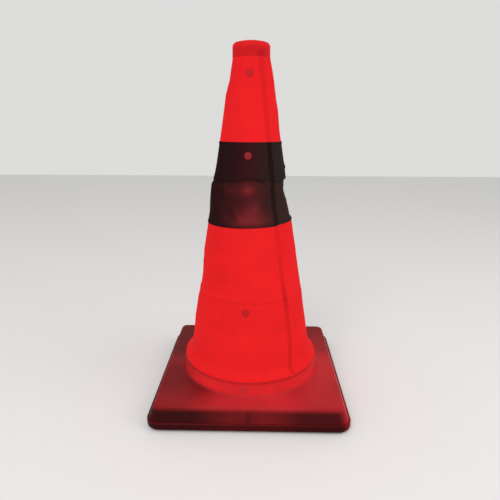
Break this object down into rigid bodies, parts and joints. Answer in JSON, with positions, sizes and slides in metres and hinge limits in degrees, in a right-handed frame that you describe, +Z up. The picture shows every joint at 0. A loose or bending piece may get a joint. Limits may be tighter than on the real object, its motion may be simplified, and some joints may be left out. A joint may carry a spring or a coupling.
{
  "type": "collapsible lit traffic cone",
  "caption": "Collapsible warning cone: riveted hoops in a sewn red cloth sleeve with a dark reflective band, domed cap, square base and a light unit inside; it folds flat into the base.",
  "frame": {"origin": "centre of the base on the floor, under the feet", "axes": "+Z up along the cone's axis, -Y towards the front, +X to the right seen from the front"},
  "size_m": [0.38, 0.38, 0.691],
  "materials": {
    "base_plastic": "translucent satin",
    "tray_plastic": "satin",
    "rubber": "matte",
    "steel": "plated",
    "ballast": "painted",
    "hoop_plastic": "translucent",
    "cloth_red": "coated weave",
    "reflective_band": "retroreflective",
    "rivet_plastic": "satin",
    "cap_plastic": "translucent satin",
    "spring_wire": "drawn wire",
    "housing_plastic": "satin",
    "dark_plastic": "satin",
    "cell_metal": "sleeved",
    "contact_metal": "nickel plated",
    "circuit_board": "solder mask",
    "emitter": "clear",
    "lens_clear": "clear",
    "lead_jacket": "satin"
  },
  "bodies": {
    "base": {"base_shell": "base_plastic", "base_tray": "tray_plastic", "rubber_feet": "rubber", "base_screws": "steel", "ballast_plates": "ballast", "collar_ring": "hoop_plastic", "hem_ring": "cloth_red", "boss_rivets": "rivet_plastic", "lift_spring": "spring_wire", "light_housing": "housing_plastic", "unit_screws": "steel", "battery_holder": "dark_plastic", "battery_cells": "cell_metal", "contact_plates": "contact_metal", "contact_disc": "circuit_board", "contact_springs": "contact_metal", "led_board": "circuit_board", "leds": "emitter", "lens_seal": "rubber", "lens": "lens_clear", "lens_ring": "dark_plastic", "switch_body": "dark_plastic", "switch_board": "circuit_board", "switch_leads": "lead_jacket"},
    "hoop_1": {"hoop_1": "hoop_plastic", "rivets_1": "rivet_plastic", "cover_lower": "cloth_red"},
    "hoop_2": {"hoop_2": "hoop_plastic", "rivets_2": "rivet_plastic", "cover_middle": "cloth_red"},
    "hoop_3": {"hoop_3": "hoop_plastic", "rivets_3": "rivet_plastic", "cover_band": "reflective_band"},
    "cap": {"top_cap": "cap_plastic", "cap_rivets": "rivet_plastic", "cover_upper": "cloth_red"},
    "battery_cap": {"battery_cap": "dark_plastic", "cap_seal": "rubber"},
    "button": {"switch_button": "dark_plastic"}
  },
  "joints": [
    {"name": "fold", "type": "slide", "parent": "base", "child": "hoop_1", "axis": [0, 0, 1], "range_m": [-0.144, 0], "stiffness_N_per_m": 95, "springref_m": 0.0725, "deforming": ["cover_lower", "lift_spring"]},
    {"name": "fold_2", "type": "slide", "parent": "hoop_1", "child": "hoop_2", "axis": [0, 0, 1], "range_m": [-0.144, 0], "stiffness_N_per_m": 95, "springref_m": 0.0725, "deforming": ["cover_middle"]},
    {"name": "fold_3", "type": "slide", "parent": "hoop_2", "child": "hoop_3", "axis": [0, 0, 1], "range_m": [-0.144, 0], "stiffness_N_per_m": 95, "springref_m": 0.0725, "deforming": ["cover_band"]},
    {"name": "fold_cap", "type": "slide", "parent": "hoop_3", "child": "cap", "axis": [0, 0, 1], "range_m": [-0.149, 0], "stiffness_N_per_m": 95, "springref_m": 0.0754, "deforming": ["cover_upper"]},
    {"name": "battery_cap_turn", "type": "hinge", "parent": "base", "child": "battery_cap", "pos_m": [0, 0, 0.005], "axis": [0, 0, -1], "range_deg": [0, 60]},
    {"name": "button_press", "type": "slide", "parent": "base", "child": "button", "axis": [0, 0, 1], "range_m": [0, 0.0015], "stiffness_N_per_m": 800, "springref_m": -0.0012}
  ],
  "couplings": [
    {"joint": "fold_2", "follows": "fold", "ratio": 1},
    {"joint": "fold_3", "follows": "fold", "ratio": 1},
    {"joint": "fold_cap", "follows": "fold", "ratio": 1.0347}
  ]
}
